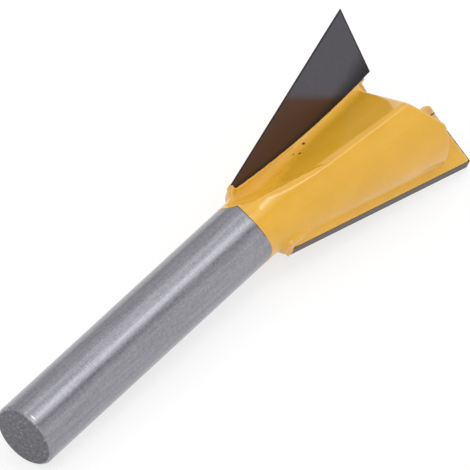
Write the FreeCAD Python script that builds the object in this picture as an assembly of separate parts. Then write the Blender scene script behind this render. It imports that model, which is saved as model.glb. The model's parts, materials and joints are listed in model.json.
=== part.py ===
import FreeCAD, Part
import math
import os

from FreeCAD import Placement, Rotation, Vector

# A two-flute dovetail router bit: a turned and milled steel body with two brazed carbide tips.
# Sizes are in millimetres and degrees.

# Whole bit
overall_length = 53.5
tip_overhang = 2.7

# Shank
shank_d = 6.35
shank_chamfer = 0.3
neck_fillet_r = 2.0

# Cutting edges
cutting_d = 18.5
cutting_length = 20.5
side_angle = 14.0
hook_angle = 14.5

# Turned steel cone, set in from the cutting edges
cone_inset_at_toe = 0.72
cone_inset_at_end = 1.0

# Flutes
web = 3.6
wall_angle = 17.0
gullet_r = 0.6
run_out_length = 2.1
run_out_r = 2.4

# Heel facets, strips of the flute walls beside the cone that lean back a little further
heel_width_at_neck = 1.2
heel_width_at_end = 0.55
heel_tilt = 9.5
heel_start = 1.0
heel_run_out_r = 1.2
heel_reach = 2.4
heel_clearance = 0.25

# Carbide tips
tip_thickness = 1.3
tip_width_at_toe = 0.54
tip_width_at_middle = 3.85
tip_width_at_end = 6.3
dish = 0.75
side_relief = 15.0
end_relief = 5.0

# Toe boss, the swell of steel that seats each tip's small end
boss_height = 0.53
boss_rise = 0.55
boss_length = 3.0
boss_lap_angle = 14.0
boss_shoulder_back = 0.22
boss_shoulder_height = 0.38

# End gashes
gash_angle = 37.9
gash_slope = 31.5
gash_offset = 0.57
gash_side = 2.5

# Braze that stands on the end face beside each tip
braze_lip_width = {1: 0.35, 2: 0.62}
braze_lip_height = {1: 1.1, 2: 1.8}
braze_lump_width = {1: 2.1, 2: 1.1}
braze_lump_height = {1: 1.4, 2: 1.8}
braze_lump_depth = 0.9
braze_round = 0.15

# What follows from the sizes, in a frame with x along the bit from the shank's end
# and y towards the corner of the first tip
tip_x = overall_length
end_x = overall_length - tip_overhang
toe_x = overall_length - cutting_length
shank_r = shank_d / 2
cutting_r = cutting_d / 2
side_tan = math.tan(math.radians(side_angle))
hook_tan = math.tan(math.radians(hook_angle))
gash_tan = math.tan(math.radians(gash_slope))
clear = 2 * cutting_d
settling_rounds = 40
origin = Vector(0, 0, 0)
along = Vector(1, 0, 0)


def radial(angle):
    """Unit vector across the bit, with the angle counted from the first tip the way the bit turns."""
    return Vector(0, math.cos(math.radians(angle)), math.sin(math.radians(angle)))


def edge_radius(x):
    """Radius of the cutting edge."""
    return cutting_r - (tip_x - x) * side_tan


cone_toe_r = edge_radius(toe_x) - cone_inset_at_toe
cone_end_r = edge_radius(end_x) - cone_inset_at_end
cone_tan = (cone_end_r - cone_toe_r) / (end_x - toe_x)


def cone_radius(x):
    """Radius of the turned steel cone."""
    return cone_toe_r + (x - toe_x) * cone_tan


def rake_point(x, y):
    """Point of the rake plane, which holds the cutting edge and leans back by the hook angle."""
    return Vector(x, y, (y - edge_radius(x)) * hook_tan)


edge_along = Vector(1, side_tan, 0).normalize()
rake_normal = Vector(side_tan * hook_tan, -hook_tan, 1).normalize()
rake_across = Vector(0, 1, hook_tan).normalize()
rake_behind = Vector(0, hook_tan, -1).normalize()
wall_normal = radial(wall_angle)
wall_up = radial(wall_angle + 90)


def other_side(shape):
    """The same shape for the opposite wing."""
    return shape.rotated(origin, along, 180)


def lines(points):
    """Straight edges from point to point."""
    return [Part.makeLine(start, end) for start, end in zip(points, points[1:])]


def face_inside(edges):
    """Flat face inside a closed run of edges."""
    return Part.Face(Part.Wire(edges))


def all_beyond(point, normal):
    """Block that fills the side of a plane which its normal points to."""
    block = Part.makeBox(2 * clear, 2 * clear, clear, Vector(-clear, -clear, 0))
    block.Placement = Placement(point, Rotation(Vector(0, 0, 1), normal))
    return block


def edge_between(shape, start, end):
    """The edge of a shape that joins two of its corners."""
    def gap(edge, corner):
        return min(vertex.Point.distanceToPoint(corner) for vertex in edge.Vertexes)
    return min(shape.Edges, key=lambda edge: gap(edge, start) + gap(edge, end))


def turned_blank():
    """Shank, chamfer, concave neck, cone and end face, turned from one bar."""
    cone_angle = math.atan(cone_tan)
    neck_x = toe_x + (shank_r - cone_toe_r) / cone_tan
    reach = neck_fillet_r * math.tan(cone_angle / 2)
    neck_start = Vector(neck_x - reach, shank_r, 0)
    neck_end = Vector(neck_x + reach * math.cos(cone_angle), shank_r + reach * math.sin(cone_angle), 0)
    hollow = Vector(math.sin(cone_angle / 2), -math.cos(cone_angle / 2), 0) * neck_fillet_r
    neck_middle = neck_start + Vector(0, neck_fillet_r, 0) + hollow
    edges = lines([
        neck_end,
        Vector(end_x, cone_end_r, 0),
        Vector(end_x, 0, 0),
        origin,
        Vector(0, shank_r - shank_chamfer, 0),
        Vector(shank_chamfer, shank_r, 0),
        neck_start,
    ])
    edges.append(Part.Arc(neck_start, neck_middle, neck_end).toShape())
    return face_inside(edges).revolve(origin, along, 360)


def toe_boss():
    """Part of a turn around the cone: it rises steeply to the tip's toe and fades out behind it."""
    rise_x = toe_x - boss_rise
    fade_x = toe_x + boss_length
    start = Vector(rise_x, cone_radius(rise_x), 0)
    shoulder = Vector(toe_x - boss_shoulder_back, cone_radius(toe_x) + boss_shoulder_height, 0)
    crest = Vector(toe_x, cone_radius(toe_x) + boss_height, 0)
    edges = [Part.Arc(start, shoulder, crest).toShape()]
    edges += lines([
        crest,
        Vector(fade_x, cone_radius(fade_x), 0),
        Vector(fade_x, shank_r / 2, 0),
        Vector(rise_x, shank_r / 2, 0),
        start,
    ])
    tip_angle = math.degrees(math.atan(tip_thickness / cone_toe_r))
    section = face_inside(edges).rotated(origin, along, -tip_angle - boss_lap_angle)
    return section.revolve(origin, along, tip_angle + 2 * boss_lap_angle)


def flute_tool():
    """Wedge that mills one flute: a wall beside the web, the rake plane as its floor, a round gullet."""
    lean = wall_normal.z * hook_tan

    def gullet(x):
        return rake_point(x, (web / 2 + lean * edge_radius(x)) / (wall_normal.y + lean))

    near = gullet(toe_x - run_out_length)
    far = gullet(tip_x + tip_overhang)
    up = near + wall_up * clear
    out = near + rake_across * clear
    section = Part.Face(Part.makePolygon([near, up, up + rake_across * clear, out, near]))
    wedge = section.extrude(far - near)
    wedge = wedge.makeFillet(run_out_r, [edge_between(wedge, near, up), edge_between(wedge, near, out)])
    return wedge.makeFillet(gullet_r, [edge_between(wedge, gullet(toe_x), far)])


def heel_ridge(x):
    """Point where a flute wall meets the round outside, which is the cone or, near the neck, the shank."""
    height = math.sqrt(max(cone_radius(x), shank_r) ** 2 - (web / 2) ** 2)
    return Vector(x, 0, 0) + wall_normal * (web / 2) + wall_up * height


def heel_tool():
    """Bar that mills one heel facet: it leaves the wall at a small angle and ends in a round run-out."""
    near = heel_ridge(toe_x - heel_start) - wall_up * heel_width_at_neck
    far = heel_ridge(end_x) - wall_up * heel_width_at_end
    run = (far - near) * (1 + heel_reach / (end_x - toe_x))
    in_wall = run.cross(wall_normal).normalize()
    turn = Rotation(run, heel_tilt)
    across = turn.multVec(in_wall)
    outward = turn.multVec(wall_normal) * heel_reach
    low = near - across * heel_clearance
    high = near + across * heel_reach
    bar = Part.Face(Part.makePolygon([low, high, high + outward, low + outward, low])).extrude(run)
    return bar.makeFillet(heel_run_out_r, [edge_between(bar, low, high)])


def tip_seat():
    """Slab on the rake plane with a tip's toe and inner edge, open past its cutting edge and end."""
    middle_x = (toe_x + tip_x) / 2
    toe_in = rake_point(toe_x, edge_radius(toe_x) - tip_width_at_toe)
    middle_in = rake_point(middle_x, edge_radius(middle_x) - tip_width_at_middle)
    end_in = rake_point(tip_x - dish, cutting_r - tip_width_at_end)
    edges = [Part.Arc(toe_in, middle_in, end_in).toShape()]
    edges += lines([
        end_in,
        rake_point(tip_x + tip_overhang, cutting_r - tip_width_at_end),
        rake_point(tip_x + tip_overhang, clear / 2),
        rake_point(toe_x, clear / 2),
        toe_in,
    ])
    return face_inside(edges).extrude(rake_normal * -tip_thickness)


def gash_tool():
    """Wedge that gashes the end behind a wing, sloping down from near the middle to the rim."""
    outward = radial(gash_angle)
    sideways = radial(gash_angle + 90)
    foot = Vector(end_x, 0, 0) + outward * gash_offset - sideways * gash_side
    rim = foot + (outward - along * gash_tan) * clear
    section = Part.Face(Part.makePolygon([foot, rim, rim + along * 2 * clear, foot + along * clear, foot]))
    return section.extrude(sideways * clear)


def steel_body():
    """Blank with its toe bosses, flutes, heel facets, tip seats and end gashes."""
    body = turned_blank().fuse([toe_boss(), other_side(toe_boss())])
    cuts = [flute_tool(), heel_tool(), tip_seat(), gash_tool()]
    cuts += [other_side(cut) for cut in cuts]
    return body.cut(cuts).removeSplitter()


def carbide_tip():
    """Tip that fills its seat, ground with side relief, a dished end and end relief."""
    corner = rake_point(tip_x, cutting_r)
    inner_corner = rake_point(tip_x - dish, cutting_r - tip_width_at_end)
    flank = edge_along.cross(radial(-90 - side_relief))
    down_the_end = Vector(-math.sin(math.radians(end_relief)), 0, -math.cos(math.radians(end_relief)))
    end_face = (inner_corner - corner).cross(down_the_end)
    return tip_seat().cut([all_beyond(corner, flank), all_beyond(corner, end_face)])


def braze_block(width, lap, front, back, height):
    """Rounded block over the tip's inner corner: its width inwards, its lap outwards, its depths."""
    foot = rake_point(tip_x - dish, cutting_r - tip_width_at_end)
    foot.x = end_x - 2 * gash_offset
    corners = []
    for across, depth in ((-width, front), (lap, front), (lap, back), (-width, back), (-width, front)):
        corners.append(foot + rake_across * across + rake_behind * depth)
    block = Part.Face(Part.makePolygon(corners)).extrude(along * (end_x + height - foot.x))
    return block.makeFillet(braze_round, [edge for edge in block.Edges if edge.BoundBox.XMax > end_x])


def braze_fillet(wing, body, tip):
    """Braze in the corners between one tip and the end face: a low lip beside it, a lump behind it."""
    lip = braze_block(braze_lip_width[wing], tip_thickness / 2, 0, tip_thickness, braze_lip_height[wing])
    lump = braze_block(braze_lump_width[wing], braze_lump_depth, tip_thickness / 2,
                       tip_thickness + braze_lump_depth / 2, braze_lump_height[wing])
    return lip.fuse(lump).cut([body, tip])


def heel_corners(body):
    """Corners of the steel where flute wall, heel facet, cone and end gash meet behind one wing."""
    x = end_x
    for _ in range(settling_rounds):
        ridge = heel_ridge(x)
        x = end_x - (ridge.dot(radial(gash_angle)) - gash_offset) * gash_tan
    corners = [vertex.Point for vertex in body.Vertexes]
    return [corner for corner in corners if corner.distanceToPoint(heel_ridge(x)) < heel_width_at_end]


def resting_roll(heel):
    """Roll that sets the opposite wing's heel on the floor with its tip's corner and the shank's rim."""
    share = (heel.x - shank_chamfer) / (tip_x - shank_chamfer)
    sideways = heel.y - share * cutting_r
    level = shank_r * (1 - share)
    return math.atan2(heel.z, sideways) - math.acos(level / math.hypot(sideways, heel.z))


def resting_place(body):
    """Turn and lift that lay the bit on a tip's corner, the heel ahead of it and the shank's end rim."""
    roll = min(resting_roll(heel) for heel in heel_corners(body))
    tilt = math.atan((cutting_r * math.cos(roll) - shank_r) / (tip_x - shank_chamfer))
    lift = shank_r * math.cos(tilt) - shank_chamfer * math.sin(tilt)
    rolled = Rotation(along, 90 - math.degrees(roll))
    tilted = Rotation(Vector(0, 1, 0), -math.degrees(tilt))
    return Placement(Vector(0, 0, lift), tilted * rolled)


def all_pieces():
    """Every piece by name, in the bit's own frame."""
    body = steel_body()
    tip = carbide_tip()
    return {
        "body": body,
        "carbide_tip_1": tip,
        "carbide_tip_2": other_side(tip),
        "braze_fillet_1": braze_fillet(1, body, tip),
        "braze_fillet_2": other_side(braze_fillet(2, body, tip)),
    }


def laid_down(pieces):
    """The pieces at rest, with the origin under the middle of the whole bit."""
    place = resting_place(pieces["body"])
    box = Part.makeCompound(list(pieces.values())).transformed(place.Matrix).optimalBoundingBox(False, False)
    place.move(Vector(-box.Center.x, -box.Center.y, 0))
    for name, shape in pieces.items():
        pieces[name] = shape.transformed(place.Matrix)
    shank_end = place.multVec(origin)
    shank_axis = place.Rotation.multVec(along)
    print("shank end", tuple(shank_end), "axis towards the head", tuple(shank_axis))
    return pieces


os.makedirs("parts", exist_ok=True)
for name, shape in laid_down(all_pieces()).items():
    print(name, "valid", shape.isValid(), "solids", len(shape.Solids), "volume", round(shape.Volume, 2))
    shape.exportStep(f"parts/{name}.step")
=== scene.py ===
# %% [markdown]
# # A dovetail router bit
# The real bit is a steel bar, turned and milled, with two dark carbide tips brazed into its head.
# The head is dipped in glossy yellow enamel and the cutting faces are ground clean again, so three
# finishes meet: ground steel, enamel and ground carbide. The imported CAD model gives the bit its
# sizes. This script gives it its looks, and adds the enamel's own thickness and pools.

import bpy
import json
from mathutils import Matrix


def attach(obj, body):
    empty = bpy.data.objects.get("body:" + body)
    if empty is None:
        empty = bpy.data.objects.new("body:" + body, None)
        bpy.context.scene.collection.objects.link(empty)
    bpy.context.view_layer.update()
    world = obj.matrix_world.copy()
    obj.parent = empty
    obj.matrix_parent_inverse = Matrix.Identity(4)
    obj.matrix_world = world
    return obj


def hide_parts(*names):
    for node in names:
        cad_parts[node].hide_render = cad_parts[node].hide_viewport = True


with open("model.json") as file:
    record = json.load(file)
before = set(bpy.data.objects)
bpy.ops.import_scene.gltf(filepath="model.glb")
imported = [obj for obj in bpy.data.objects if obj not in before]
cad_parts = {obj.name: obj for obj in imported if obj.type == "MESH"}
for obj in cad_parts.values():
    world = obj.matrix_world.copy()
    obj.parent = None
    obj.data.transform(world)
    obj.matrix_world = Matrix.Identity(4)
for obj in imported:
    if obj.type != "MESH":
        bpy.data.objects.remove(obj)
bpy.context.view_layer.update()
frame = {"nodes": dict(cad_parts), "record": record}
print("CAD nodes:", ", ".join(sorted(frame["nodes"])))

# %% Modules and units
import json
import math

import bmesh
import bpy
import numpy as np
from mathutils import Matrix, Vector

MM = 0.001
print("1 mm is", MM, "Blender units")

# %% [markdown]
# ## The bit's own frame
# The bit lies tilted on one tip, one heel and its shank, which is awkward to model in. A workbench
# frame helps: millimetres, x along the bit from the shank's end, y towards the corner of the first
# tip, and z the way that tip cuts. Its place, the tip's corner and the shank's radius are measured
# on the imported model, and one matrix leads back. Angles and other measures further down are written
# as numbers that fit this CAD model, so they would have to change with it.

# %% Measure the workbench frame on the CAD model
shank_mount = next(mount for mount in frame["record"]["mounts"] if mount["name"] == "shank")
along = -Vector(shank_mount["axis"]).normalized()
on_axis = Vector(shank_mount["pos_m"])
shank_r = shank_mount["dims"]["r_mm"]


def vertices_of(node):
    """The vertices of a CAD node, in the row frame."""
    return [vertex.co.copy() for vertex in frame["nodes"][node].data.vertices]


def off_axis(point):
    """The part of a point's place that lies across the bit's axis."""
    arm = point - on_axis
    return arm - along * arm.dot(along)


axis_start = on_axis + along * min((point - on_axis).dot(along) for point in vertices_of("body"))
tip_corner = max(vertices_of("carbide_tip_1"), key=lambda point: off_axis(point).length)
towards_tip = off_axis(tip_corner).normalized()
cutting_way = along.cross(towards_tip)
bit_axes = Matrix((along, towards_tip, cutting_way)).transposed().to_4x4()
bit_to_row = Matrix.Translation(axis_start) @ bit_axes
bit_to_row = bit_to_row @ Matrix.Scale(MM, 4)
row_to_bit = bit_to_row.inverted()
cutting_r = (row_to_bit @ tip_corner).y
tip_x = (row_to_bit @ tip_corner).x
print(f"cutting radius {cutting_r:.3f} mm, tips at {tip_x:.3f} mm, shank radius {shank_r} mm")

# %% Directions across the bit
side_angle = math.radians(14.0)
hook_angle = math.radians(14.5)
side_relief = math.radians(15.0)


def radial(degrees):
    """Unit vector across the bit, its angle counted from the first tip the way the bit turns."""
    return Vector((0, math.cos(math.radians(degrees)), math.sin(math.radians(degrees))))


edge_line = Vector((math.cos(side_angle), math.sin(side_angle), 0))
rake_normal = Vector((math.tan(side_angle) * math.tan(hook_angle), -math.tan(hook_angle), 1))
rake_normal.normalize()
flank_normal = edge_line.cross(radial(-90 - math.degrees(side_relief)))
edge_corner = Vector((tip_x, cutting_r, 0))
half_turn = Matrix.Rotation(math.pi, 4, "X")
print("rake face looks towards", tuple(round(part, 3) for part in rake_normal))

# %% Plane of the ground end face
dish = 0.75
tip_width_at_end = 6.3
end_relief = math.radians(5.0)
inner_y = cutting_r - tip_width_at_end
inner_z = (inner_y - cutting_r + dish * math.tan(side_angle)) * math.tan(hook_angle)
inner_corner = Vector((tip_x - dish, inner_y, inner_z))
down_the_relief = Vector((-math.sin(end_relief), 0, -math.cos(end_relief)))
end_normal = (inner_corner - edge_corner).cross(down_the_relief)
end_normal.normalize()
print("end face looks towards", tuple(round(part, 3) for part in end_normal))

# %% [markdown]
# ## Camera
# The photograph has almost no perspective: the shank is as wide at one end of the picture as at
# the other. A long lens from far away gives that look, and this one is short enough that views from
# other sides still show the bit. The head points 30 degrees away from the camera and climbs the
# picture at 42.6 degrees, and one millimetre covers about 11.1 pixels.

# %% Set the camera by the bit's place in the picture
picture_px = 470
px_per_mm = 11.131
lens_mm = 1500.0
sensor_mm = 36.0
away = math.radians(30.0)
climb = math.radians(42.6)
facing_angle = 82
centre_on_axis = 30.14
centre_across = -0.51
sight_m = 20.0

facing = radial(facing_angle)
sideways = radial(facing_angle + 90)
screen_axis = Vector((math.cos(away), 0, 0)) + facing * math.sin(away)
to_camera = facing * math.cos(away) - Vector((math.sin(away), 0, 0))
screen_right = screen_axis * math.cos(climb) + sideways * math.sin(climb)
screen_up = screen_axis * math.sin(climb) - sideways * math.cos(climb)
picture_mm = picture_px / px_per_mm
distance_mm = picture_mm * lens_mm / sensor_mm
camera_axes = Matrix((screen_right, screen_up, to_camera)).transposed()
turn = bit_to_row.to_3x3() @ camera_axes
aim = Vector((centre_on_axis, 0, 0)) + sideways * centre_across

camera_data = bpy.data.cameras.new("camera")
camera_data.lens = lens_mm
camera_data.sensor_width = sensor_mm
camera_data.clip_end = sight_m
camera = bpy.data.objects.new("camera", camera_data)
camera.rotation_mode = "QUATERNION"
camera.rotation_quaternion = turn.normalized().to_quaternion()
camera.location = bit_to_row @ (aim + to_camera * distance_mm)
bpy.context.scene.collection.objects.link(camera)
bpy.context.scene.camera = camera
print(f"camera {distance_mm / 1000:.2f} m away, picture {picture_mm:.1f} mm wide")

# %% [markdown]
# ## Helpers for materials
# A procedural material is a small graph of nodes. A few helpers keep the graphs short: `add` adds
# any node and sets or links its inputs, and the others stand for the kinds of node used most. A
# Mapping node turns object coordinates into workbench millimetres, so that a pattern can follow
# the bit's axis.

# %% Helpers that add any node or a mathematical one


def new_material(name):
    """A material that has only its Principled shader and output."""
    material = bpy.data.materials.new(name)
    material.use_nodes = True
    tree = material.node_tree
    return material, tree, tree.nodes["Principled BSDF"]


def add(tree, kind, settings=None, **inputs):
    """Adds a node, sets its own settings, then sets or links its inputs, by name or as i0, i1."""
    node = tree.nodes.new(kind)
    for name, value in (settings or {}).items():
        setattr(node, name, value)
    for name, value in inputs.items():
        key = int(name[1:]) if name[1:].isdigit() else name.replace("_", " ")
        if isinstance(value, bpy.types.NodeSocket):
            tree.links.new(value, node.inputs[key])
        else:
            node.inputs[key].default_value = value
    return node


def math_node(tree, operation, first, second=0.0, third=0.0, clamp=False):
    """The output of one Math node."""
    settings = {"operation": operation, "use_clamp": clamp}
    return add(tree, "ShaderNodeMath", settings, i0=first, i1=second, i2=third).outputs[0]


def vector_node(tree, operation, first, second=(0.0, 0.0, 0.0), scale=1.0):
    """The output of one Vector Math node: a number for a distance or dot product, or a vector."""
    settings = {"operation": operation}
    node = add(tree, "ShaderNodeVectorMath", settings, i0=first, i1=second, i3=scale)
    return node.outputs[1 if operation in ("DISTANCE", "DOT_PRODUCT") else 0]


def map_range(tree, value, start, end, low=0.0, high=1.0, soft=False):
    """Maps a value that runs from start to end onto low to high, and holds it between them."""
    settings = {"interpolation_type": "SMOOTHSTEP" if soft else "LINEAR"}
    return add(tree, "ShaderNodeMapRange", settings, i0=value, i1=start, i2=end, i3=low,
               i4=high).outputs[0]


print("node helpers are ready")

# %% Helpers for coordinates, patterns and colours


def bit_coordinates(tree):
    """Object coordinates turned into workbench millimetres."""
    place, rotation, scale = bit_to_row.decompose()
    source = add(tree, "ShaderNodeTexCoord").outputs["Object"]
    settings = {"vector_type": "TEXTURE"}
    return add(tree, "ShaderNodeMapping", settings, Vector=source, Location=place,
               Rotation=rotation.to_euler(), Scale=scale).outputs[0]


def split(tree, vector):
    """The three parts of a vector."""
    return add(tree, "ShaderNodeSeparateXYZ", None, Vector=vector).outputs


def stretched(tree, parts, *factors):
    """A vector from three parts, each times its own factor, which makes a pattern run one way."""
    x, y, z = (math_node(tree, "MULTIPLY", part, factor) for part, factor in zip(parts, factors))
    return add(tree, "ShaderNodeCombineXYZ", None, X=x, Y=y, Z=z).outputs[0]


def noise(tree, vector, scale, detail=2.0, roughness=0.5):
    """Soft noise between 0 and 1."""
    return add(tree, "ShaderNodeTexNoise", None, Vector=vector, Scale=scale, Detail=detail,
               Roughness=roughness).outputs[0]


def ramp(tree, factor, stops):
    """A colour ramp from stops of place and colour."""
    node = add(tree, "ShaderNodeValToRGB", None, Fac=factor)
    elements = node.color_ramp.elements
    for place, colour in stops[2:]:
        elements.new(place)
    for element, (place, colour) in zip(elements, stops):
        element.position = place
        element.color = (*colour, 1.0)
    return node.outputs[0]


def mix_colours(tree, factor, first, second):
    """Two colours mixed by a factor."""
    node = add(tree, "ShaderNodeMix", {"data_type": "RGBA"}, i0=factor)
    for socket, value in ((node.inputs[6], first), (node.inputs[7], second)):
        if isinstance(value, bpy.types.NodeSocket):
            tree.links.new(value, socket)
        else:
            socket.default_value = (*value, 1.0)
    return node.outputs[2]


def add_bump(tree, shader, height, strength, depth_m):
    """Lets a pattern tilt the surface normal, as if it stood that deep."""
    bump = add(tree, "ShaderNodeBump", None, Strength=strength, Distance=depth_m, Height=height)
    tree.links.new(bump.outputs[0], shader.inputs["Normal"])


print("pattern helpers are ready")

# %% [markdown]
# ## Ground steel
# The shank is ground between a wheel and a blade while it spins, which leaves very fine marks round
# it. Noise that changes fast along the axis and slowly round it gives them, with even grain and
# long faint scratches added. One pattern drives colour, roughness and a faint bump, so a mark
# catches light as one thing. The end face is only faced off, so it is mottled, darker and rougher.

# %% Ground steel material
ring_share, grain_share, streak_share, marks_offset = 0.6, 1.0, 0.8, -0.7
face_depth = (0.12, 0.02)
face_roughness = 0.12
bare_colours = [(0.3, (0.245, 0.243, 0.270)), (0.7, (0.335, 0.332, 0.362))]
faced_colours = [(0.34, (0.085, 0.084, 0.095)), (0.56, (0.165, 0.162, 0.178)),
                 (0.74, (0.42, 0.41, 0.43))]


def steel_material():
    """Steel with marks round the shank, grain, long scratches and a mottled end face."""
    material, tree, shader = new_material("ground_steel")
    place = bit_coordinates(tree)
    parts = split(tree, place)
    rings = noise(tree, stretched(tree, parts, 9.0, 0.5, 0.5), 1.6, 4.0, 0.7)
    streaks = noise(tree, stretched(tree, parts, 0.12, 2.2, 2.2), 1.4, 4.0, 0.65)
    mottle = noise(tree, place, 3.2, 5.0, 0.75)
    grain = noise(tree, place, 4.2, 3.0, 0.7)
    marks = math_node(tree, "MULTIPLY_ADD", grain, grain_share, marks_offset)
    marks = math_node(tree, "MULTIPLY_ADD", rings, ring_share, marks)
    marks = math_node(tree, "MULTIPLY_ADD", streaks, streak_share, marks)
    on_face = map_range(tree, parts[0], *face_depth)
    pattern = add(tree, "ShaderNodeMix", {"data_type": "FLOAT"}, i0=on_face, i2=marks,
                  i3=mottle).outputs[0]
    bare = ramp(tree, pattern, bare_colours)
    faced = ramp(tree, pattern, faced_colours)
    tree.links.new(mix_colours(tree, on_face, bare, faced), shader.inputs["Base Color"])
    rough = map_range(tree, pattern, 0.3, 0.7, 0.17, 0.25)
    rough = math_node(tree, "ADD", rough, math_node(tree, "MULTIPLY", on_face, face_roughness))
    tree.links.new(rough, shader.inputs["Roughness"])
    add_bump(tree, shader, pattern, 0.25, 0.00001)
    shader.inputs["Metallic"].default_value = 1.0
    return material


steel = steel_material()
print("made", steel.name)

# %% [markdown]
# ## Yellow enamel
# The head is coated with thick glossy enamel. Its look comes from its gloss, from slow waves in the
# surface and from its thickness: it is paler on sharp edges, partly because the enamel is thin there
# and partly as a painted highlight, and deeper and duller where it has pooled in inner corners,
# partly from the thick enamel and partly as painted shade. The attribute `bend`, which the pooling
# rule further down stores on the mesh, tells the two apart. Three pinholes in the flute beside the
# first tip are painted as dark spots of shade, and one lump of braze on the end face is almost bare,
# with a painted shadow along its seam. They are placed in workbench millimetres.

# %% Enamel material
bend_name = "bend"
enamel_colours = [(0.3, (0.655, 0.34, 0.018)), (0.7, (0.70, 0.375, 0.024))]
# Deeper where the enamel pools in inner corners, which also paints shade there.
pooled_and_shade_colour = (0.66, 0.29, 0.012)
# Paler where the enamel is thin on sharp edges, which also paints a highlight there.
thin_and_highlight_colour = (0.72, 0.44, 0.15)
braze_colour = (0.56, 0.33, 0.13)
# Near-black for the painted shade in the pinholes and along the braze seam.
pit_and_seam_shade_colour = (0.03, 0.015, 0.01)
braze_lump = (52.25, -3.05, 3.6)
braze_reach = (0.95, 0.55)
braze_seam = ((51.83, -3.05, 3.39), (52.41, -3.12, 3.36))
seam_r = 0.06
pinholes = [(42.04, 2.32, -0.69, 0.15), (40.78, 1.99, -0.15, 0.13), (40.42, 2.25, -0.54, 0.08)]
corner_bend = (0.01, 0.08)


def seam_shadow_mark(tree, place):
    """1 on the seam of the bare braze, where a shadow is painted, 0 away from it."""
    start, end = Vector(braze_seam[0]), Vector(braze_seam[1])
    line = end - start
    arm = vector_node(tree, "SUBTRACT", place, start)
    run = vector_node(tree, "DOT_PRODUCT", arm, line / line.length_squared)
    run = math_node(tree, "ADD", run, 0.0, clamp=True)
    gap = vector_node(tree, "DISTANCE", arm, vector_node(tree, "SCALE", line, scale=run))
    return map_range(tree, gap, seam_r * 1.6, seam_r * 0.6)


def enamel_material():
    """Glossy yellow enamel with slow waves, pooled places with painted shade, thin edges with a
    painted highlight, pinholes and bare braze.
    """
    material, tree, shader = new_material("yellow_enamel")
    place = bit_coordinates(tree)
    bend = add(tree, "ShaderNodeAttribute", {"attribute_name": bend_name}).outputs["Fac"]
    colour = ramp(tree, noise(tree, place, 0.35), enamel_colours)
    # Pooled places get the deeper colour: thick enamel and painted shade.
    pooled = map_range(tree, bend, 0.03, 0.2, 0.0, 0.35)
    colour = mix_colours(tree, pooled, colour, pooled_and_shade_colour)
    # Sharp edges get the paler colour: thin enamel and a painted highlight.
    thin = map_range(tree, bend, -0.14, -0.26, 0.0, 0.4)
    colour = mix_colours(tree, thin, colour, thin_and_highlight_colour)
    far = vector_node(tree, "DISTANCE", place, braze_lump)
    colour = mix_colours(tree, map_range(tree, far, *braze_reach, 0.0, 0.75), colour, braze_colour)
    # Painted shade in the braze seam and the pinholes.
    hole = seam_shadow_mark(tree, place)
    for x, y, z, size in pinholes:
        gap = vector_node(tree, "DISTANCE", place, (x, y, z))
        dark = map_range(tree, gap, size * 1.3, size * 0.7)
        hole = math_node(tree, "MAXIMUM", hole, dark)
    tree.links.new(mix_colours(tree, hole, colour, pit_and_seam_shade_colour), shader.inputs["Base Color"])
    waves = noise(tree, place, 0.9)
    add_bump(tree, shader, math_node(tree, "SUBTRACT", waves, hole), 0.35, 0.00004)
    rough = map_range(tree, bend, *corner_bend, 0.16, 0.5)
    tree.links.new(rough, shader.inputs["Roughness"])
    shine = map_range(tree, bend, *corner_bend, 0.25, 0.0)
    tree.links.new(shine, shader.inputs["Coat Weight"])
    shader.inputs["Coat Roughness"].default_value = 0.09
    shader.inputs["IOR"].default_value = 1.5
    return material


enamel = enamel_material()
print("made", enamel.name)

# %% [markdown]
# ## Ground carbide
# Cemented carbide is a dark grey metal, finely ground, with marks that run across the tip. Its rake
# face is painted brown on the side of the toe, up to an edge that is level in the picture: a painted
# reflection of the yellow flute wall in the glossy face. That may be a stain from brazing or the
# mirrored flute. The brown is painted below a plane in workbench millimetres, and the painted part is
# less metallic. Painted shade along the inner edge and along the ground edges is added in the same
# way, all on both rake faces.

# %% Painted shade along the inner edge and the rims of the rake faces
# Painted shade on the rake faces: a band along the inner edge that widens towards the end, and rims
# along the ground edges.
inner_shade_start_x, inner_shade_length = 33.0, 19.75
inner_edge = (1.673, -2.323, 3.6)
inner_shade_growth, inner_shade_least_width = 2.3, 0.5
inner_shade_share = 0.8
rim_shade_depth = (0.2, 0.1)
rim_shade_share = 0.75


def height_over(tree, place, point, normal):
    """Distance of the surface from a plane, in millimetres."""
    arm = vector_node(tree, "SUBTRACT", place, point)
    return vector_node(tree, "DOT_PRODUCT", arm, normal)


def inner_shade_mark(tree, x, y):
    """How much painted shade the rake face gets: most along the tip's inner edge, in a band that
    widens.
    """
    share = math_node(tree, "SUBTRACT", x, inner_shade_start_x)
    share = math_node(tree, "DIVIDE", share, inner_shade_length)
    inner = math_node(tree, "MULTIPLY_ADD", share, inner_edge[0], inner_edge[1])
    inner = math_node(tree, "MULTIPLY_ADD", inner, share, inner_edge[2])
    width = math_node(tree, "POWER", share, 4.0)
    width = math_node(tree, "MULTIPLY_ADD", width, inner_shade_growth, inner_shade_least_width)
    gap = math_node(tree, "SUBTRACT", y, inner)
    return map_range(tree, gap, width, 0.0, 0.0, inner_shade_share, soft=True)


def rim_shade_mark(tree, place):
    """How much painted shade the rake face gets along the ground flank and end face."""
    depths = [math_node(tree, "ABSOLUTE", height_over(tree, place, edge_corner, normal))
              for normal in (flank_normal, end_normal)]
    return map_range(tree, math_node(tree, "MINIMUM", *depths), *rim_shade_depth, 0.0, rim_shade_share)


print("painted_shade from", inner_shade_start_x, "mm on, rims up to", rim_shade_depth[0], "mm wide")

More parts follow.
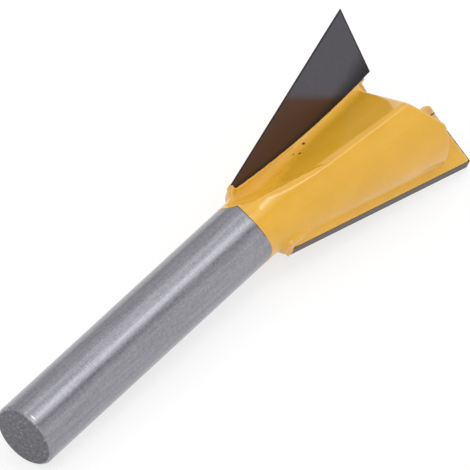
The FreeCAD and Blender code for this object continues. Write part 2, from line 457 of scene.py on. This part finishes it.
# %% Carbide material
# A plane below which the rake faces get a painted reflection of the yellow flute wall.
reflection_plane_normal = Vector((0.586, 0.776, 0.233))
reflection_plane_height = 30.5
reflection_edge_blur = 0.5
rake_depth = (-0.06, -0.01)
carbide_colours = [(0.3, (0.088, 0.082, 0.093)), (0.7, (0.108, 0.101, 0.113))]
side_colour = (0.076, 0.066, 0.064)
# The brown of the painted reflection.
painted_reflection_colour = (0.074, 0.039, 0.024)
# Near-black for the painted shade.
carbide_shade_colour = (0.018, 0.017, 0.019)


def carbide_material():
    """Dark metal with fine lines across the tip, and a painted reflection and painted shade on the
    rake faces.
    """
    material, tree, shader = new_material("ground_carbide")
    parts = split(tree, bit_coordinates(tree))
    side = math_node(tree, "SIGN", parts[1])
    first_y, first_z = (math_node(tree, "MULTIPLY", part, side) for part in (parts[1], parts[2]))
    on_wing = add(tree, "ShaderNodeCombineXYZ", None, X=parts[0], Y=first_y, Z=first_z).outputs[0]
    from_edge = height_over(tree, on_wing, reflection_plane_normal * reflection_plane_height, reflection_plane_normal)
    below_reflection_edge = map_range(tree, from_edge, reflection_edge_blur, -reflection_edge_blur, soft=True)
    above_rake = height_over(tree, on_wing, edge_corner, rake_normal)
    on_rake = map_range(tree, above_rake, *rake_depth)
    # The brown tint is a painted reflection of the yellow flute wall, on the rake faces only.
    tint = math_node(tree, "MULTIPLY", below_reflection_edge, on_rake)
    # Painted shade along the inner edge and along the ground edges, on the rake faces only.
    dark = math_node(tree, "MAXIMUM", inner_shade_mark(tree, parts[0], first_y), rim_shade_mark(tree, on_wing))
    dark = math_node(tree, "MULTIPLY", dark, on_rake)
    marks = noise(tree, stretched(tree, parts, 6.0, 0.6, 6.0), 1.5, 3.0, 0.65)
    colour = mix_colours(tree, on_rake, side_colour, ramp(tree, marks, carbide_colours))
    colour = mix_colours(tree, tint, colour, painted_reflection_colour)
    colour = mix_colours(tree, dark, colour, carbide_shade_colour)
    tree.links.new(colour, shader.inputs["Base Color"])
    # The painted reflection is less metallic and less specular than the ground carbide.
    metallic = math_node(tree, "MULTIPLY_ADD", tint, -0.85, 1.0)
    tree.links.new(metallic, shader.inputs["Metallic"])
    specular = math_node(tree, "MULTIPLY_ADD", tint, -0.3, 0.5)
    tree.links.new(specular, shader.inputs["Specular IOR Level"])
    rough = map_range(tree, marks, 0.3, 0.7, 0.2, 0.27)
    tree.links.new(rough, shader.inputs["Roughness"])
    add_bump(tree, shader, marks, 0.2, 0.00001)
    shader.inputs["Specular Tint"].default_value = (0.7, 0.68, 0.66, 1)
    return material


carbide = carbide_material()
print("made", carbide.name)

# %% [markdown]
# ## Mesh helpers
# The shank and the head are built in the workbench frame and then moved into the row frame in one
# step, with their objects left at the origin. What lies beyond a plane is cut away, and the open
# cut is closed again, so what is left stays a closed solid.

# %% Helpers that copy, cut and make meshes


def cad_copy(node):
    """A copy of a CAD node as an editable mesh in the workbench frame, with its seams merged."""
    copy = bmesh.new()
    copy.from_mesh(frame["nodes"][node].data)
    copy.transform(row_to_bit)
    bmesh.ops.remove_doubles(copy, verts=copy.verts, dist=0.0005)
    return copy


def cut_away(mesh, point, normal):
    """Removes what lies beyond a plane and closes the cut."""
    geometry = [*mesh.verts, *mesh.edges, *mesh.faces]
    result = bmesh.ops.bisect_plane(mesh, geom=geometry, dist=1e-5, plane_co=point,
                                    plane_no=normal, clear_outer=True)
    rim = [part for part in result["geom_cut"] if isinstance(part, bmesh.types.BMEdge)]
    bmesh.ops.triangle_fill(mesh, edges=rim, use_beauty=True)
    return mesh


def as_object(name, mesh, material=None):
    """A new object from an editable mesh, at the origin."""
    data = bpy.data.meshes.new(name)
    mesh.to_mesh(data)
    mesh.free()
    piece = bpy.data.objects.new(name, data)
    bpy.context.scene.collection.objects.link(piece)
    if material:
        data.materials.append(material)
    return piece


def apply_modifiers(piece):
    """Turns the result of a piece's modifiers into its plain mesh."""
    graph = bpy.context.evaluated_depsgraph_get()
    made = bpy.data.meshes.new_from_object(piece.evaluated_get(graph), depsgraph=graph)
    piece.modifiers.clear()
    old = piece.data
    piece.data = made
    made.name = piece.name
    bpy.data.meshes.remove(old)


print("mesh helpers are ready")

# %% Helpers for the points of a mesh


def triangles(piece):
    """How many triangles a mesh has."""
    return sum(len(face.vertices) - 2 for face in piece.data.polygons)


def points_of(piece):
    """The points of a mesh as a table with one row a point."""
    points = np.empty(len(piece.data.vertices) * 3)
    piece.data.vertices.foreach_get("co", points)
    return points.reshape(-1, 3)


def set_points(piece, points):
    """Moves the points of a mesh to new places."""
    piece.data.vertices.foreach_set("co", points.ravel())
    piece.data.update()


def lay_down(piece):
    """Moves a finished mesh from the workbench frame to where the CAD model lies."""
    piece.data.transform(bit_to_row)
    piece.data.update()
    return piece


print("point helpers are ready")

# %% [markdown]
# ## The shank
# The shank is a turned shape: one outline, spun round the axis. In Geometry Nodes that is a curve
# along the axis with a circle swept along it, whose radius shrinks over the first fraction of a
# millimetre for the chamfer. The points crowd together near both ends, because their places along
# the axis follow a cosine. The end under the enamel is then stretched to where the paint starts.

# %% Shank by Geometry Nodes
chamfer = 0.3
chamfer_bulge = 1.25
paint_x = 30.9
shank_hidden = 0.55
points_around = 192
points_along = 60


def group_input(tree, name, kind, value):
    """A named input of a node group, with its value."""
    socket = tree.interface.new_socket(name=name, in_out="INPUT", socket_type=kind)
    socket.default_value = value
    return socket


def lathe_tree():
    """A node group that turns a bar with a rounded chamfer at its start."""
    tree = bpy.data.node_groups.new("turned_bar", "GeometryNodeTree")
    sockets = {
        "Radius": group_input(tree, "Radius", "NodeSocketFloat", shank_r),
        "Length": group_input(tree, "Length", "NodeSocketFloat", paint_x),
        "Chamfer": group_input(tree, "Chamfer", "NodeSocketFloat", chamfer),
        "Around": group_input(tree, "Around", "NodeSocketInt", points_around),
        "Rings": group_input(tree, "Rings", "NodeSocketInt", points_along),
        "Finish": group_input(tree, "Finish", "NodeSocketMaterial", steel),
    }
    tree.interface.new_socket(name="Geometry", in_out="OUTPUT", socket_type="NodeSocketGeometry")
    given = tree.nodes.new("NodeGroupInput").outputs
    axis = add(tree, "GeometryNodeCurvePrimitiveLine")
    points = add(tree, "GeometryNodeResampleCurve", None, Curve=axis.outputs[0],
                 Count=given["Rings"])
    share = add(tree, "GeometryNodeSplineParameter").outputs["Factor"]
    swing = math_node(tree, "COSINE", math_node(tree, "MULTIPLY", share, math.pi))
    place = math_node(tree, "MULTIPLY_ADD", swing, -0.5, 0.5)
    place = math_node(tree, "MULTIPLY", place, given["Length"])
    spread = add(tree, "GeometryNodeSetPosition", None, Geometry=points.outputs[0],
                 Position=add(tree, "ShaderNodeCombineXYZ", None, X=place).outputs[0])
    reached = split(tree, add(tree, "GeometryNodeInputPosition").outputs[0])[0]
    left = math_node(tree, "DIVIDE", reached, given["Chamfer"])
    left = math_node(tree, "SUBTRACT", 1.0, left, clamp=True)
    loss = math_node(tree, "POWER", left, chamfer_bulge)
    loss = math_node(tree, "MULTIPLY", loss, given["Chamfer"])
    tapered = add(tree, "GeometryNodeSetCurveRadius", None, Curve=spread.outputs[0],
                  Radius=math_node(tree, "SUBTRACT", given["Radius"], loss))
    circle = add(tree, "GeometryNodeCurvePrimitiveCircle", None, Resolution=given["Around"],
                 Radius=1.0)
    bar = add(tree, "GeometryNodeCurveToMesh", None, Curve=tapered.outputs[0],
              Profile_Curve=circle.outputs[0], Fill_Caps=True,
              Scale=add(tree, "GeometryNodeInputRadius").outputs[0])
    smooth = add(tree, "GeometryNodeSetShadeSmooth", None, Geometry=bar.outputs[0])
    real = add(tree, "GeometryNodeRealizeInstances", None, Geometry=smooth.outputs[0])
    painted = add(tree, "GeometryNodeSetMaterial", None, Geometry=real.outputs[0],
                  Material=given["Finish"])
    result = tree.nodes.new("NodeGroupOutput")
    tree.links.new(painted.outputs[0], result.inputs[0])
    return tree, {name: socket.identifier for name, socket in sockets.items()}


turned_bar, bar_inputs = lathe_tree()
print("lathe has", len(turned_bar.nodes), "nodes and the inputs", ", ".join(bar_inputs))

# %% [markdown]
# ### Where steel and enamel meet
# The edge of the enamel wanders along the shank as it goes round. It is given as pairs of an angle
# and a place along the axis, set to follow the photograph where it shows and made up behind. The
# steel goes on a little under the enamel, thinner there, and thinner still where a flute runs out.

# %% Edge of the paint and the shank
paint_edge = ((-90, 30.55), (-40, 30.3), (-8, 30.25), (14, 30.36), (24, 30.52), (31, 30.78),
              (36, 31.04), (46, 30.86), (55, 30.75), (65, 30.64), (80, 30.6), (100, 30.62),
              (112, 30.72), (124, 30.8), (140, 30.9), (170, 30.55), (190, 30.4), (210, 30.7),
              (217, 30.95), (235, 30.72), (270, 30.55))
flute_sectors = ((-14.0, 112.0), (166.0, 292.0))
core_r = 1.7
tucked_r = 3.0
lap = 0.1
even_until = 29.0


def paint_start(angle):
    """Where the enamel starts along the shank at an angle round it, in radians."""
    degrees = (np.degrees(angle) + 90) % 360 - 90
    angles, starts = zip(*paint_edge)
    return np.interp(degrees, angles, starts, period=360)


def make_shank():
    """The bare shank, stretched to just under the paint's edge and thinner beyond it."""
    piece = as_object("shank", bmesh.new())
    modifier = piece.modifiers.new("turned_bar", "NODES")
    modifier.node_group = turned_bar
    modifier[bar_inputs["Length"]] = paint_x + shank_hidden
    apply_modifiers(piece)
    points = points_of(piece)
    angle = np.arctan2(points[:, 2], points[:, 1])
    in_flute = np.zeros(len(points), bool)
    for start, end in flute_sectors:
        in_flute |= (np.degrees(angle) - start) % 360 < end - start
    radius = np.hypot(points[:, 1], points[:, 2])
    last_ring = points[points[:, 0] < paint_x, 0].max()
    hidden = points[:, 0] > last_ring + 0.001
    reach = np.clip((points[:, 0] - even_until) / (last_ring - even_until), 0, 1)
    points[:, 0] += reach * (paint_start(angle) + lap - last_ring)
    limit = np.where(hidden, np.where(in_flute, core_r, tucked_r), radius)
    points[:, 1:] *= (np.minimum(radius, limit) / np.maximum(radius, 1e-6))[:, None]
    set_points(piece, points)
    return lay_down(piece)


shank = make_shank()
shank_mm = tuple(round(size * 1000, 2) for size in shank.dimensions)
print("shank:", triangles(shank), "triangles, spans", shank_mm)

# %% [markdown]
# ## The enamelled head
# Dipped enamel has no sharp edge anywhere: it thins on outer corners and pools in inner ones. A
# voxel remesh of the CAD solids gives one even skin, and a few rounds of smoothing turn every
# corner into a soft one. The skin also covers the back of each carbide tip, so a slab of each tip,
# set in from its ground faces, goes into it, and so does each tip's toe, moved out a little.

# %% Backs and toes of the tips under the enamel
cap_from_corner = 21.02
toe_coat = 0.1
rake_cover = 0.35
flank_cover = 0.11
end_cover = 0.06
back_coat = 0.1


def turned_over(mesh, turned):
    """Turns a mesh by half a turn where asked, which swaps the two wings."""
    if turned:
        mesh.transform(half_turn)
    return mesh


def tip_slab(node, turned):
    """The back of a carbide tip, set in from its ground faces and standing a little behind it."""
    slab = turned_over(cad_copy(node), turned)
    cut_away(slab, edge_corner - rake_normal * rake_cover, rake_normal)
    cut_away(slab, edge_corner - flank_normal * flank_cover, flank_normal)
    cut_away(slab, edge_corner - end_normal * end_cover, end_normal)
    slab.transform(Matrix.Translation(-rake_normal * back_coat))
    return turned_over(slab, turned)


def toe_cap(node, turned, shift):
    """A tip's toe, moved a little out of its own faces, so that the enamel laps over it."""
    cap = turned_over(cad_copy(node), turned)
    cut_away(cap, edge_corner - edge_line * cap_from_corner, edge_line)
    cap.transform(Matrix.Translation(shift))
    return turned_over(cap, turned)


print("coat over each toe:", toe_coat, "mm")

# %% [markdown]
# ### Enamel in the end of a flute
# Where a flute runs out into the neck, the enamel fills it in a smooth slope up to the shank. Three
# slices of the turned outline make that slope: one as wide as the shank and two that widen with
# the head. Each is cut under a sloping plane, then along the facet beside the flute and its wall.

# %% Pools in the flutes
wall_normal = radial(17)
pool_normal = Vector((0.254, 0.939, 0.232)).normalized()
pool_height = 10.66
pool_depth = 0.5
neck_x = 31.96
pool_end_x = 38.5
pool_end_r = 4.70
crest_normal = Vector((0.221, 0.975, -0.008)).normalized()
crest_height = 9.08
crest_end_x = 39.0
crest_end_r = 4.81
band_normal = Vector((-0.1342, 0.4653, 0.8749)).normalized()
band_height = -1.0
outline_sides = 128


def turned_length(start_x, end_x, start_r, end_r):
    """A straight or tapered length of the turned outline, as a closed solid."""
    length = bmesh.new()
    bmesh.ops.create_cone(length, cap_ends=True, segments=outline_sides, radius1=start_r,
                          radius2=end_r, depth=end_x - start_x)
    middle = Matrix.Translation(((start_x + end_x) / 2, 0, 0))
    length.transform(middle @ Matrix.Rotation(math.pi / 2, 4, "Y"))
    return length


def run_out_pool(turned):
    """Enamel in the end of a flute: slices of the turned outline, cut by sloping planes."""
    pool = pool_normal * pool_height, pool_normal
    crest = crest_normal * crest_height, crest_normal
    slices = ((turned_length(paint_x, neck_x, shank_r, shank_r), pool),
              (turned_length(neck_x, pool_end_x, shank_r, pool_end_r), pool),
              (turned_length(neck_x, crest_end_x, shank_r, crest_end_r), crest))
    for length, top in slices:
        cut_away(length, *top)
        cut_away(length, band_normal * band_height, band_normal)
        cut_away(length, wall_normal * pool_depth, -wall_normal)
        turned_over(length, turned)
    return [length for length, top in slices]


print("pools reach from", paint_x, "to", crest_end_x, "mm along the axis")

# %% Braze and the whole head
lip_thickness = 0.6
lump_drops = (("braze_fillet_1", False, 0.35), ("braze_fillet_2", True, 0.12))


def braze(node, turned, lowered):
    """Braze beside a tip: a lip along the rake plane and, behind it, a lump that stands lower."""
    lip, lump = (turned_over(cad_copy(node), turned) for part in range(2))
    cut_away(lip, edge_corner - rake_normal * lip_thickness, -rake_normal)
    lump.transform(Matrix.Translation((-lowered, 0, 0)))
    return [turned_over(lip, turned), turned_over(lump, turned)]


def head_solids():
    """Steel head, backs and toes of the tips, braze and pools as overlapping closed solids."""
    together = cut_away(cad_copy("body"), Vector((paint_x, 0, 0)), Vector((-1, 0, 0)))
    parts = [part for lump in lump_drops for part in braze(*lump)]
    for node, turned in (("carbide_tip_1", False), ("carbide_tip_2", True)):
        parts.append(tip_slab(node, turned))
        for normal in (rake_normal, flank_normal):
            parts.append(toe_cap(node, turned, normal * toe_coat))
        parts += run_out_pool(turned)
    for part in parts:
        passing = bpy.data.meshes.new("passing")
        part.to_mesh(passing)
        together.from_mesh(passing)
        bpy.data.meshes.remove(passing)
        part.free()
    return together


head = as_object("enamelled_head", head_solids(), enamel)
print("solids under the enamel:", triangles(head), "triangles")

# %% [markdown]
# ### Pooling
# Blurring the places of a mesh's points pulls outer corners in and inner corners out. The node
# group keeps only the outward part, along the normal, as paint fills a corner. It also stores how
# far the blur would move each point along its normal, as the attribute `bend` that the enamel's
# material reads.

# %% Pooling rule in Geometry Nodes
pool_rounds = 60


def live_socket(sockets, kind):
    """The first socket of a kind that is in use under a node's own settings."""
    return next(socket for socket in sockets if socket.enabled and socket.type == kind)


def pooling_tree():
    """A node group that lifts a mesh towards its own blurred shape, but only outwards."""
    tree = bpy.data.node_groups.new("pooled_enamel", "GeometryNodeTree")
    tree.interface.new_socket(name="Geometry", in_out="INPUT", socket_type="NodeSocketGeometry")
    sockets = {
        "Rounds": group_input(tree, "Rounds", "NodeSocketInt", pool_rounds),
        "Fill": group_input(tree, "Fill", "NodeSocketFloat", 1.0),
    }
    tree.interface.new_socket(name="Geometry", in_out="OUTPUT", socket_type="NodeSocketGeometry")
    given = tree.nodes.new("NodeGroupInput").outputs
    place = add(tree, "GeometryNodeInputPosition").outputs[0]
    normal = add(tree, "GeometryNodeInputNormal").outputs[0]
    blur = add(tree, "GeometryNodeBlurAttribute", {"data_type": "FLOAT_VECTOR"})
    blurred = live_socket(blur.outputs, "VECTOR")
    tree.links.new(place, live_socket(blur.inputs, "VECTOR"))
    tree.links.new(given["Rounds"], blur.inputs["Iterations"])
    rise = vector_node(tree, "DOT_PRODUCT", vector_node(tree, "SUBTRACT", blurred, place), normal)
    lift = math_node(tree, "MULTIPLY", math_node(tree, "MAXIMUM", rise, 0.0), given["Fill"])
    marked = add(tree, "GeometryNodeStoreNamedAttribute", {"data_type": "FLOAT", "domain": "POINT"},
                 Geometry=given["Geometry"], Name=bend_name)
    tree.links.new(rise, live_socket(marked.inputs, "VALUE"))
    lifted = add(tree, "GeometryNodeSetPosition", None, Geometry=marked.outputs[0],
                 Offset=vector_node(tree, "SCALE", normal, scale=lift))
    result = tree.nodes.new("NodeGroupOutput")
    tree.links.new(lifted.outputs[0], result.inputs[0])
    return tree, {name: socket.identifier for name, socket in sockets.items()}


pooling, pooling_inputs = pooling_tree()
print("pooling rule has", len(pooling.nodes), "nodes")

# %% Skin of enamel over the solids
voxel = 0.12
soften_rounds = 8
coat = 0.03
wander_reach = 1.3
wander_fade = 1.1


def enamel_skin(piece):
    """Remeshes, pools, softens and thickens the head, and moves its edge to where paint starts."""
    remesh = piece.modifiers.new("voxels", "REMESH")
    remesh.mode = "VOXEL"
    remesh.voxel_size = voxel
    remesh.use_smooth_shade = True
    pool = piece.modifiers.new("pool", "NODES")
    pool.node_group = pooling
    pool[pooling_inputs["Rounds"]] = pool_rounds
    soften = piece.modifiers.new("soften", "SMOOTH")
    soften.factor = 0.5
    soften.iterations = soften_rounds
    swell = piece.modifiers.new("swell", "DISPLACE")
    swell.strength = coat
    swell.mid_level = 0.0
    apply_modifiers(piece)
    points = points_of(piece)
    reach = np.clip((paint_x + wander_reach - points[:, 0]) / wander_fade, 0, 1)
    fade = reach * reach * (3 - 2 * reach)
    starts = paint_start(np.arctan2(points[:, 2], points[:, 1]))
    points[:, 0] += fade * (starts - points[:, 0].min())
    set_points(piece, points)
    lay_down(piece)


enamel_skin(head)
print("enamelled head:", triangles(head), "triangles")

# %% [markdown]
# ## The carbide tips
# A ground tip has flat faces and sharp edges, which is just what its CAD solid has. The two CAD
# nodes stay, and only their material changes.

# %% Carbide tips
for node in ("carbide_tip_1", "carbide_tip_2"):
    node_mesh = frame["nodes"][node].data
    node_mesh.materials.clear()
    node_mesh.materials.append(carbide)
    print(node, "has", carbide.name)

# %% [markdown]
# ## Floor and light
# The photograph has a white background and soft light, whose reflections run as streaks along the
# shank. Nearly all the light comes from the world, and one small lamp overhead adds a highlight.
# The floor is a plain pale sheet. Most of what the camera and mirrors see of it is its own glow, so
# it comes close to white and still takes a faint shadow.

# %% Floor
floor_size = 3.0
floor_glow = 0.72


def floor_material():
    """Pale matt floor, most of whose brightness is its own for camera and mirror rays."""
    material, tree, shader = new_material("pale_floor")
    shader.inputs["Base Color"].default_value = (0.93, 0.93, 0.93, 1)
    shader.inputs["Roughness"].default_value = 0.9
    shader.inputs["Specular IOR Level"].default_value = 0.0
    ray = add(tree, "ShaderNodeLightPath").outputs
    seen = math_node(tree, "MAXIMUM", ray["Is Camera Ray"], ray["Is Glossy Ray"])
    seen = math_node(tree, "MAXIMUM", seen, ray["Is Transmission Ray"])
    glow = add(tree, "ShaderNodeEmission", None, Color=(1, 1, 1, 1), Strength=1.0)
    share = math_node(tree, "MULTIPLY", seen, floor_glow)
    both = add(tree, "ShaderNodeMixShader", None, Fac=share, i1=shader.outputs[0],
               i2=glow.outputs[0])
    tree.links.new(both.outputs[0], tree.nodes["Material Output"].inputs["Surface"])
    return material


def make_floor():
    """A flat sheet under the bit."""
    sheet = bmesh.new()
    bmesh.ops.create_grid(sheet, x_segments=1, y_segments=1, size=floor_size / 2)
    return as_object("floor", sheet, floor_material())


floor = make_floor()
print("floor is", floor_size, "m wide")

# %% [markdown]
# ### World light
# The world is white for the camera. For everything else its brightness depends only on how far a
# direction leans from straight up towards the front or back. The levels are pairs of that lean in
# degrees and a brightness, set until the streaks on the shank looked as in the photograph.

# %% World light
light_levels = ((-180, 0.80), (-100, 0.80), (-86, 0.70), (-70, 0.76), (-55, 0.85), (-40, 0.92),
                (-34, 1.00), (-29, 1.32), (-22, 1.45), (-15, 1.25), (-9, 1.08), (-4, 1.20),
                (1, 1.80), (8, 2.25), (14, 1.85), (20, 1.45), (26, 0.90), (31, 0.55), (38, 0.70),
                (46, 0.88), (56, 1.00), (72, 1.10), (80, 0.98), (95, 0.95), (180, 0.80))


def world_light():
    """White for the camera; for the rest a brightness that changes with the lean."""
    world = bpy.data.worlds.new("studio")
    world.use_nodes = True
    tree = world.node_tree
    direction = split(tree, add(tree, "ShaderNodeTexCoord").outputs["Generated"])
    to_front = math_node(tree, "MULTIPLY", direction[1], -1.0)
    lean = math_node(tree, "ARCTAN2", to_front, direction[2])
    share = math_node(tree, "MULTIPLY_ADD", lean, 0.5 / math.pi, 0.5)
    stops = [((degrees + 180) / 360, (level,) * 3) for degrees, level in light_levels]
    ray = add(tree, "ShaderNodeLightPath").outputs
    seen = math_node(tree, "MAXIMUM", ray["Is Camera Ray"], ray["Is Transmission Ray"])
    colour = mix_colours(tree, seen, ramp(tree, share, stops), (1.0, 1.0, 1.0))
    tree.links.new(colour, tree.nodes["Background"].inputs["Color"])
    bpy.context.scene.world = world


world_light()
print("world has", len(light_levels), "levels")

# %% Lamp
lamp_place = Vector((0.075, -0.05, 0.7))
lamp_target = Vector((0, 0, 0.005))
lamp_size = 0.15
lamp_power = 0.26


def small_lamp():
    """A square area lamp that looks at the bit."""
    data = bpy.data.lights.new("small_lamp", "AREA")
    data.shape = "SQUARE"
    data.size = lamp_size
    data.energy = lamp_power
    lamp = bpy.data.objects.new("small_lamp", data)
    lamp.location = lamp_place
    lamp.rotation_mode = "QUATERNION"
    lamp.rotation_quaternion = (lamp_target - lamp.location).to_track_quat("-Z", "Y")
    bpy.context.scene.collection.objects.link(lamp)
    return lamp


lamp = small_lamp()
print("lamp:", lamp.name, "at", tuple(round(part, 3) for part in lamp.location))

# %% [markdown]
# ## Pieces and view
# Each piece is tied to the one body of the part, and the CAD nodes it stands for are hidden. The view
# settings stay plain, so that colours come out as they are written.

# %% Ride, and hide the CAD nodes that the pieces replace
for piece, stands_for, finish in ((shank, ["body"], "steel"),
                                  (head, ["body", "braze_fillet_1", "braze_fillet_2"], "enamel")):
    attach(piece, "root")
    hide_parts(*stands_for)
bpy.context.scene.view_settings.view_transform = "Standard"
